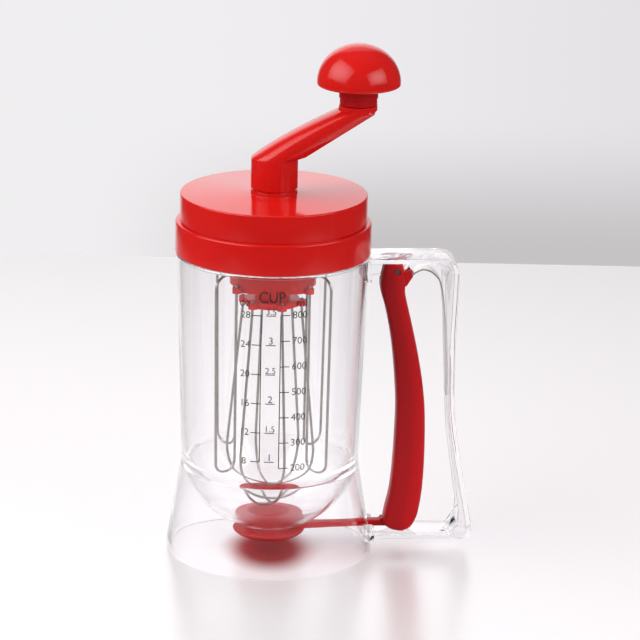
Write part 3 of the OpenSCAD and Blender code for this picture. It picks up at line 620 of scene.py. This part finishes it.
def crankArm(s):
    # post, then slanting sections that narrow towards the knob's boss, flat below with a crisp edge
    bm = bmesh.new()
    post = s["postRadius"]
    boss = s["bossRadius"]
    rise = s["bossZ"] - s["bossHeight"] - s["rootZ"]
    sections = [(0, post, post, s["postLow"], 0), (0, post, post, s["rootZ"], 0)]
    for i in range(1, s["steps"] + 1):
        t = i / s["steps"]
        right = post + (s["throw"] + boss - post) * t
        left = -post + (s["throw"] - boss + post) * t - s["crown"] * t * (1 - t) - s["lean"] * t
        depth = post + (boss - post) * t
        flat = min(1, t / s["flatFrom"], (1 - t) / s["flatTo"])
        sections.append(((left + right) / 2, (right - left) / 2, depth, s["rootZ"] + rise * t, flat))
    sections.append((s["throw"], boss, boss, s["bossZ"], 0))
    crease = math.radians(s["crease"])
    before = None
    for x, rx, ry, z, flat in sections:
        ring = bmesh.ops.create_circle(bm, cap_ends=False, radius=1, segments=120)["verts"]
        for v in ring:
            around = abs(math.atan2(v.co.y, v.co.x))
            reach = math.cos(around)
            if around < crease:
                edged = 1
            elif around < math.pi / 2:
                edged = reach / math.cos(crease)
            else:
                edged = -abs(reach) ** s["nose"]
            v.co = Vector(((x + rx * (reach + (edged - reach) * flat)) * mm, ry * v.co.y * mm, z * mm))
        edges = {e for v in ring for e in v.link_edges}
        if before:
            bmesh.ops.bridge_loops(bm, edges=list(edges | before))
        before = edges
    bmesh.ops.holes_fill(bm, edges=bm.edges, sides=0)
    bmesh.ops.recalc_face_normals(bm, faces=bm.faces)
    creases = [e for e in bm.edges if e.calc_face_angle(0) > math.radians(30)
               and all(s["rootZ"] + 0.2 < v.co.z / mm < s["rootZ"] + rise * 0.97 for v in e.verts)]
    bmesh.ops.bevel(bm, geom=creases, offset=s["edge"] * mm, offset_type="OFFSET", affect="EDGES",
                    segments=3, profile=0.5, material=-1, clamp_overlap=True)
    return bm


place("crankArm", crankArm(crank), redPlastic, "crank", ["crank_arm"], 36)

knob = {"x": crank["throw"], "radius": 22.4, "domeZ": 260.5, "top": 281.2, "low": 258.8, "shell": 2.2,
        "neck": 10.0, "stemZ": 248.7, "pinHole": 2.6}


def knobDome(s):
    high = s["top"] - s["domeZ"]
    return lathe([(s["radius"] - s["shell"], s["low"]), (s["radius"] - 1.2, s["low"]),
                  *arc(s["radius"] - 1.4, s["low"] + 1.4, 1.4, 1.4, -60, -10, 6),
                  *arc(0, s["domeZ"], s["radius"], high, 3, 90, 40),
                  *arc(0, s["domeZ"], s["radius"] - s["shell"], high - s["shell"], 90, 0, 30)],
                 closed=False, x=s["x"])


def knobStem(s):
    return lathe(soften([(s["pinHole"], s["stemZ"]), (s["neck"], s["stemZ"]), (s["neck"], s["stemZ"] + 3.6),
                         (s["neck"] + 0.45, s["stemZ"] + 3.6), (s["neck"] + 0.45, s["low"]),
                         (s["radius"] - 2.3, s["low"]), (s["radius"] - 2.3, s["low"] + 1.6),
                         (6, s["low"] + 1.6), (6, s["low"] + 3.6), (s["pinHole"], s["low"] + 3.6)],
                        [0, 0.3, 0.1, 0.2, 0.8, 0.2, 0, 0, 0, 0], 4), x=s["x"])


place("knobDome", knobDome(knob), redPlastic, "knob", ["knob_dome"])
# the stem takes the darker valve red as painted shade under the dome
place("knobStem", knobStem(knob), valveRedAndStemShade, "knob", ["knob_stem"])
print("crank made")


wire = {
    "radius": 0.7, "outerTurn": -2, "innerTurn": 46,
    "outerPath": [(27.3, 154.5), (27.3, 50.2), (41.1, 50.2), (42.5, 161), (23.6, 161)],
    "outerBends": [0, 6.6, 6.6, 7, 0], "innerTop": [(16.2, 143), (16.2, 136)],
    "bellyRadius": 24, "bellyZ": 56, "lowest": 25.7, "nesting": 1.82,
}


def bentWire(points, turn, radius):
    # round wire along a path in X and Z, swept by runs and bends
    bm = bmesh.new()
    path = [Vector(p) for p in points]
    ring = bmesh.ops.create_circle(bm, cap_ends=True, radius=radius * mm, segments=16)["verts"]
    heading = (path[1] - path[0]).normalized()
    tilt = math.atan2(heading.x, heading.y)
    bmesh.ops.rotate(bm, verts=ring, cent=(0, 0, 0), matrix=Matrix.Rotation(tilt, 3, "Y"))
    bmesh.ops.translate(bm, verts=ring, vec=(path[0].x * mm, 0, path[0].y * mm))
    bm.faces.ensure_lookup_table()
    face = bm.faces[0]
    for i in range(1, len(path)):
        made = bmesh.ops.extrude_face_region(bm, geom=[face])
        verts = [v for v in made["geom"] if isinstance(v, bmesh.types.BMVert)]
        fresh = [f for f in made["geom"] if isinstance(f, bmesh.types.BMFace)]
        face = fresh[0]
        step = path[i] - path[i - 1]
        bmesh.ops.translate(bm, verts=verts, vec=(step.x * mm, 0, step.y * mm))
        ahead = path[min(i + 1, len(path) - 1)] - path[i - 1]
        newTilt = math.atan2(ahead.x, ahead.y)
        bmesh.ops.rotate(bm, verts=verts, cent=(path[i].x * mm, 0, path[i].y * mm),
                         matrix=Matrix.Rotation(newTilt - tilt, 3, "Y"))
        tilt = newTilt
    bmesh.ops.rotate(bm, verts=bm.verts, cent=(0, 0, 0), matrix=Matrix.Rotation(math.radians(turn), 3, "Z"))
    bmesh.ops.recalc_face_normals(bm, faces=bm.faces)
    return bm


def together(parts):
    bm = bmesh.new()
    for part in parts:
        mesh = meshOf("part", part)
        bm.from_mesh(mesh)
        bpy.data.meshes.remove(mesh)
    return bm


def outerLoops(s):
    path = soften(s["outerPath"], s["outerBends"], 8, False)
    return together([bentWire(path, a + s["outerTurn"], s["radius"]) for a in (45, 135, 225, 315)])


def innerLoops(s):
    # each loop is straight above and half an ellipse below
    parts = []
    for k in range(3):
        deep = s["bellyZ"] - s["lowest"] - s["radius"] - s["nesting"] * k
        half = soften([*s["innerTop"], (s["bellyRadius"], s["bellyZ"])], [0, 20, 0], 6, False)[:-1]
        below = arc(0, s["bellyZ"], s["bellyRadius"], deep, 7, -187, 60)
        path = half + below + [(-x, z) for x, z in half[::-1]]
        parts.append(bentWire(path, s["innerTurn"] + 60 * k, s["radius"]))
    return together(parts)


place("outerLoops", outerLoops(wire), wireSteel, "outer_whisk", ["outer_whisk"])
place("innerLoops", innerLoops(wire), wireSteel, "crank", ["inner_whisk"])
print("whisks made")


scaleMarks = {
    "front": -94, "inkGap": 0.04, "lineWidth": 0.5, "tick": 5.0, "topZ": 146.4,
    "ounceLine": -4.95, "ounceLow": 64.3, "ounceX": -13.4, "millilitreLine": 5.35, "low200": 60.8,
    "per100": 14.27, "millilitreX": 15.7, "cupStart": -2.4, "cupEnd": 2.8, "cupX": 0.3,
    "headZ": 152.9, "headHeight": 4.6, "cupHeadZ": 155.9, "cupHeadHeight": 6.2,
    "figures": 3.9, "halfFigures": 3.4, "ounceFigures": 3.8,
}


def wallRadius(z):
    # outer radius of the jug's wall at a height
    return jug["waistRadius"] + (jug["topRadius"] - jug["waistRadius"]) * (z - jug["wallZ"]) / (
        jug["beadZ"] - 1.2 - jug["wallZ"])


def printed(bm, s):
    # wraps flat artwork (x along the wall, z up, in metres) onto the wall
    for v in bm.verts:
        radius = (wallRadius(v.co.z / mm) + s["inkGap"]) * mm
        angle = math.radians(s["front"]) + v.co.x / radius
        v.co = Vector((radius * math.cos(angle), radius * math.sin(angle), v.co.z))
    return bm


def bar(bm, x0, z0, x1, z1):
    # a flat line, cut fine enough to follow the wall
    count = max(1, round(abs(x1 - x0) / 1.0))
    for i in range(count):
        a = x0 + (x1 - x0) * i / count
        b = x0 + (x1 - x0) * (i + 1) / count
        bm.faces.new([bm.verts.new((x * mm, 0, z * mm)) for x, z in ((a, z0), (b, z0), (b, z1), (a, z1))])


def words(text, x, z, height, squeeze=1.0):
    # lettering as a flat mesh in X and Z, its middle at z
    curve = bpy.data.curves.new("words", "FONT")
    curve.body = text
    curve.size = height * mm * 1.42
    curve.align_x = "CENTER"
    curve.align_y = "CENTER"
    curve.resolution_u = 3
    carrier = bpy.data.objects.new("words", curve)
    scene.collection.objects.link(carrier)
    mesh = bpy.data.meshes.new_from_object(carrier.evaluated_get(bpy.context.evaluated_depsgraph_get()))
    bpy.data.objects.remove(carrier)
    bpy.data.curves.remove(curve)
    bm = bmesh.new()
    bm.from_mesh(mesh)
    bpy.data.meshes.remove(mesh)
    bmesh.ops.scale(bm, verts=bm.verts, vec=(squeeze, 1, 1))
    bmesh.ops.rotate(bm, verts=bm.verts, cent=(0, 0, 0), matrix=Matrix.Rotation(math.pi / 2, 3, "X"))
    bmesh.ops.translate(bm, verts=bm.verts, vec=(x * mm, 0, z * mm))
    return bm


def measuringScale(s):
    bm = bmesh.new()
    half = s["lineWidth"] / 2
    bar(bm, s["ounceLine"] - half, s["ounceLow"], s["ounceLine"] + half, s["topZ"])
    bar(bm, s["millilitreLine"] - half, s["low200"], s["millilitreLine"] + half, s["topZ"])
    parts = [bm]
    for i in range(6):
        z = s["ounceLow"] + i * (s["topZ"] - 0.3 - s["ounceLow"]) / 5
        bar(bm, s["ounceLine"] - s["tick"], z - half, s["ounceLine"], z + half)
        parts.append(words(str(8 + 4 * i), s["ounceX"], z, s["ounceFigures"]))
        cups = 1 + i / 2
        whole = cups == int(cups)
        height = s["figures"] if whole else s["halfFigures"]
        bar(bm, s["cupStart"], z - half, s["cupEnd"], z + half)
        parts.append(words(str(int(cups)) if whole else str(cups), s["cupX"], z + height / 2 + 0.35, height))
    for i in range(7):
        z = s["low200"] + i * s["per100"]
        bar(bm, s["millilitreLine"], z - half, s["millilitreLine"] + s["tick"], z + half)
        parts.append(words(str(200 + 100 * i), s["millilitreX"], z, s["figures"]))
    parts.append(words("oz", s["ounceX"] - 0.4, s["headZ"], s["headHeight"]))
    parts.append(words("CUP", s["cupX"] + 0.3, s["cupHeadZ"], s["cupHeadHeight"], squeeze=0.85))
    parts.append(words("ml", s["millilitreX"] + 0.8, s["headZ"], s["headHeight"]))
    return printed(together(parts), s)


place("measuringScale", measuringScale(scaleMarks), scaleInk, "jug")
print("scale made")


table = {
    "halfWidth": 3, "front": -3, "end": 0.582, "color": (0.775, 0.75, 0.755), "glow": 0.08,
    "glowBehind": 0.115, "gloss": 0.34, "glossRoughness": 0.28, "glossColor": (1, 0.985, 0.985),
    "dimColor": (0.07, 0.07, 0.07), "dimFront": 0.28, "dimSides": 0.3, "dimFade": 0.3,
    # the cap numbers place a painted shadow and painted red reflection under the valve cap
    "capShadowColor": (0.24, 0.002, 0.004), "capReflectionColor": (0.6, 0.04, 0.05), "capDepth": 0.66, "capShift": 0.004,
    "capOuter": 0.029, "capInner": 0.012,
    # the shade numbers give a painted shadow of the valve arm and lever
    "shadeColor": (0.5, 0.36, 0.37), "shadeSpan": (0.03, 0.07), "shadeY": -0.01, "shadeOuter": 0.028,
    "shadeShare": 0.62,
}


def tableMaterial(s):
    # pale glossy table with a painted shadow and painted red reflection under the cap and a painted shadow
    # under the arm; its front and sides are dim in mirrors
    material = bpy.data.materials.new("tableWhite")
    material.use_nodes = True
    tree = material.node_tree
    tree.nodes.remove(tree.nodes["Principled BSDF"])
    spot = node(tree, "ShaderNodeTexCoord").outputs["Object"]
    split = node(tree, "ShaderNodeSeparateXYZ", [("Vector", spot)]).outputs
    path = node(tree, "ShaderNodeLightPath").outputs
    front = ramp(tree, split["Y"], -s["dimFront"], -s["dimFront"] - s["dimFade"])
    sides = ramp(tree, worked(tree, "ABSOLUTE", split["X"]), s["dimSides"], s["dimSides"] + s["dimFade"])
    edge = worked(tree, "MAXIMUM", front, sides)
    opaque = worked(tree, "SUBTRACT", 1, path["Is Transmission Ray"])
    mirrored = worked(tree, "MULTIPLY", worked(tree, "MULTIPLY", edge, path["Is Glossy Ray"]), opaque)
    # painted shadow and painted red reflection under the valve cap
    shifted = node(tree, "ShaderNodeVectorMath", [(0, spot), (1, (1, s["capDepth"], 1)),
                                                  (2, (0, s["capShift"], 0))], operation="MULTIPLY_ADD")
    fromCap = node(tree, "ShaderNodeVectorMath", [(0, shifted.outputs["Vector"])],
                   operation="LENGTH").outputs["Value"]
    capShadowMask = ramp(tree, fromCap, s["capOuter"], s["capInner"])
    # painted shadow under the valve arm and lever
    along = node(tree, "ShaderNodeClamp", [("Value", split["X"]), ("Min", s["shadeSpan"][0]),
                                           ("Max", s["shadeSpan"][1])]).outputs["Result"]
    nearest = node(tree, "ShaderNodeCombineXYZ", [("X", along), ("Y", s["shadeY"])]).outputs["Vector"]
    fromArm = node(tree, "ShaderNodeVectorMath", [(0, spot), (1, nearest)],
                   operation="DISTANCE").outputs["Value"]
    shade = worked(tree, "MULTIPLY", ramp(tree, fromArm, s["shadeOuter"], 0), s["shadeShare"])
    color = blend(tree, capShadowMask, blend(tree, shade, s["color"], s["shadeColor"]), s["capShadowColor"])
    color = blend(tree, mirrored, color, s["dimColor"])
    matt = node(tree, "ShaderNodeBsdfDiffuse", [("Color", color)]).outputs["BSDF"]
    glossColor = blend(tree, capShadowMask, s["glossColor"], s["capReflectionColor"])
    gloss = node(tree, "ShaderNodeBsdfAnisotropic", [("Color", glossColor),
                                                     ("Roughness", s["glossRoughness"])]).outputs["BSDF"]
    body = node(tree, "ShaderNodeMixShader", [("Fac", s["gloss"]), (1, matt), (2, gloss)]).outputs["Shader"]
    lit = worked(tree, "MULTIPLY", path["Is Camera Ray"], s["glow"])
    lit = worked(tree, "MULTIPLY_ADD", path["Is Transmission Ray"], s["glowBehind"], lit)
    glow = node(tree, "ShaderNodeEmission", [("Color", color), ("Strength", lit)]).outputs["Emission"]
    total = node(tree, "ShaderNodeAddShader", [(0, body), (1, glow)])
    tree.links.new(total.outputs["Shader"], tree.nodes["Material Output"].inputs["Surface"])
    return material


backdrop = {
    "halfWidth": 5, "y": 2.5, "low": -2, "high": 4, "wallColor": (0.8, 0.8, 0.81), "wallRoughness": 0.9,
    # the left, right and low colours paint the wall's light falloff and shade
    "leftColor": (0.875, 0.86, 0.875), "rightColor": (0.765, 0.75, 0.78), "across": (-0.05, 0.75),
    "lowColor": (0.56, 0.545, 0.55), "acrossLow": (-0.1, 0.28), "horizonZ": -0.53, "lowHeight": 0.18,
    "sheen": 1.82, "sheenLow": 0.3, "sheenRise": 0.3, "sheenHigh": 1.9, "sheenFall": 0.5,
    "sideStart": 0.7, "sideEnd": 1.6, "sideLevel": 0.12,
}


def backdropMaterial(s):
    # pale wall with painted shading, lighter on the left and darker low on the right; gloss alone sees a
    # brighter band and dim sides
    material = bpy.data.materials.new("backdropGrey")
    material.use_nodes = True
    tree = material.node_tree
    shader = tree.nodes["Principled BSDF"]
    shader.inputs["Base Color"].default_value = (*s["wallColor"], 1)
    shader.inputs["Roughness"].default_value = s["wallRoughness"]
    spot = node(tree, "ShaderNodeTexCoord").outputs["Object"]
    split = node(tree, "ShaderNodeSeparateXYZ", [("Vector", spot)]).outputs
    path = node(tree, "ShaderNodeLightPath").outputs
    # painted shading: lighter on the left, darker low on the right
    upper = blend(tree, ramp(tree, split["X"], *s["across"]), s["leftColor"], s["rightColor"])
    downwards = ramp(tree, split["Z"], s["horizonZ"] + s["lowHeight"], s["horizonZ"])
    lowShare = worked(tree, "MULTIPLY", ramp(tree, split["X"], *s["acrossLow"]), downwards)
    color = blend(tree, lowShare, upper, s["lowColor"])
    direct = worked(tree, "MAXIMUM", path["Is Camera Ray"], path["Is Transmission Ray"])
    seen = worked(tree, "MAXIMUM", direct, path["Is Glossy Ray"])
    mirror = worked(tree, "SUBTRACT", 1, direct)
    rising = ramp(tree, split["Z"], s["sheenLow"], s["sheenLow"] + s["sheenRise"])
    falling = ramp(tree, split["Z"], s["sheenHigh"] + s["sheenFall"], s["sheenHigh"])
    band = worked(tree, "MULTIPLY", worked(tree, "MULTIPLY", rising, falling), mirror)
    level = node(tree, "ShaderNodeMapRange", [("Value", band), ("To Min", 1), ("To Max", s["sheen"])])
    width = worked(tree, "ABSOLUTE", split["X"])
    aside = worked(tree, "MULTIPLY", ramp(tree, width, s["sideStart"], s["sideEnd"]), mirror)
    strength = node(tree, "ShaderNodeMix", [(0, aside), (2, level.outputs["Result"]), (3, s["sideLevel"])],
                    data_type="FLOAT").outputs[0]
    glow = node(tree, "ShaderNodeEmission", [("Color", color), ("Strength", strength)]).outputs["Emission"]
    mix = node(tree, "ShaderNodeMixShader", [("Fac", seen), (1, shader.outputs["BSDF"]), (2, glow)])
    tree.links.new(mix.outputs["Shader"], tree.nodes["Material Output"].inputs["Surface"])
    return material


def stagePlane(name, corners, material):
    bm = bmesh.new()
    bm.faces.new([bm.verts.new(inView(*c)) for c in corners])
    piece = bpy.data.objects.new(name, meshOf(name, bm))
    piece.data.materials.append(material)
    scene.collection.objects.link(piece)


side, near, far = table["halfWidth"], table["front"], table["end"]
stagePlane("table", [(-side, near, 0), (side, near, 0), (side, far, 0), (-side, far, 0)],
           tableMaterial(table))
side, away, low, high = (backdrop[key] for key in ("halfWidth", "y", "low", "high"))
stagePlane("backdrop", [(-side, away, low), (side, away, low), (side, away, high), (-side, away, high)],
           backdropMaterial(backdrop))

# around and height are in degrees, as seen from the lamps' target
softboxes = {
    "leftSoftbox": {"around": -158, "height": 38, "distance": 1.1, "size": (1.42, 1.04), "power": 11.1},
    "rightSoftbox": {"around": -33, "height": 27, "distance": 1.2, "size": (1.2, 0.82), "power": 7.2},
    "topSoftbox": {"around": 80, "height": 75, "distance": 1.4, "size": (1.6, 1.0), "power": 5.5},
}
softness = {"centre": 1.75, "rim": 0.5, "inner": 0.1, "outer": 0.62}
lampTarget = (0.044, 0, 0.2)  # below the knob


def softbox(name, s):
    # a soft lamp, brighter in its middle than along its rim
    lamp = bpy.data.lights.new(name, "AREA")
    lamp.shape = "RECTANGLE"
    lamp.size, lamp.size_y = s["size"]
    lamp.energy = s["power"]
    lamp.use_nodes = True
    tree = lamp.node_tree
    spot = node(tree, "ShaderNodeNewGeometry").outputs["Parametric"]
    level = node(tree, "ShaderNodeVectorMath", [(0, spot), (1, (1, 1, 0))], operation="MULTIPLY")
    off = node(tree, "ShaderNodeVectorMath", [(0, level.outputs["Vector"]), (1, (0.5, 0.5, 0))],
               operation="DISTANCE").outputs["Value"]
    rim = ramp(tree, off, softness["inner"], softness["outer"])
    strength = worked(tree, "MULTIPLY_ADD", rim, softness["rim"] - softness["centre"], softness["centre"])
    tree.links.new(strength, tree.nodes["Emission"].inputs["Strength"])
    holder = bpy.data.objects.new(name, lamp)
    aim = inView(*lampTarget)
    a = math.radians(s["around"])
    h = math.radians(s["height"])
    towards = inView(math.cos(a) * math.cos(h), math.sin(a) * math.cos(h), math.sin(h))
    holder.location = aim + s["distance"] * towards
    holder.rotation_euler = (aim - holder.location).to_track_quat("-Z", "Y").to_euler()
    scene.collection.objects.link(holder)


for name, settings in softboxes.items():
    softbox(name, settings)
bpy.data.objects["topSoftbox"].visible_glossy = False

# lighting is what reaches the object, seen is what shows behind it
sky = {"color": (0.97, 0.97, 1), "lighting": 0.13, "seen": 0.86}
world = bpy.data.worlds.new("studio")
scene.world = world
world.use_nodes = True
background = world.node_tree.nodes["Background"]
background.inputs["Color"].default_value = (*sky["color"], 1)
path = node(world.node_tree, "ShaderNodeLightPath").outputs
seen = worked(world.node_tree, "MAXIMUM", path["Is Camera Ray"], path["Is Transmission Ray"])
strength = node(world.node_tree, "ShaderNodeMapRange", [("Value", seen), ("To Min", sky["lighting"]),
                                                        ("To Max", sky["seen"])])
world.node_tree.links.new(strength.outputs["Result"], background.inputs["Strength"])

view = {"target": (0.025884, 0, 0.129429), "camera": (0.025884, -2.034866, 0.732918), "roll": 1.153,
        "lens": 221.49, "sensor": 36, "nearest": 0.1, "farthest": 20}
cameraData = bpy.data.cameras.new("camera")
cameraData.lens = view["lens"]
cameraData.sensor_width = view["sensor"]
cameraData.clip_start = view["nearest"]
cameraData.clip_end = view["farthest"]
camera = bpy.data.objects.new("camera", cameraData)
camera.location = inView(*view["camera"])
aim = (inView(*view["target"]) - camera.location).to_track_quat("-Z", "Y")
camera.rotation_mode = "QUATERNION"
camera.rotation_quaternion = aim @ Quaternion((0, 0, 1), math.radians(view["roll"]))
scene.collection.objects.link(camera)
scene.camera = camera

clearBounces = 64  # light passes many clear walls before it leaves the jug
shadowLayers = 24
scene.cycles.transmission_bounces = clearBounces
scene.cycles.glossy_bounces = clearBounces
scene.cycles.max_bounces = clearBounces
scene.cycles.transparent_max_bounces = shadowLayers
scene.view_settings.view_transform = "Standard"
print("stage made")
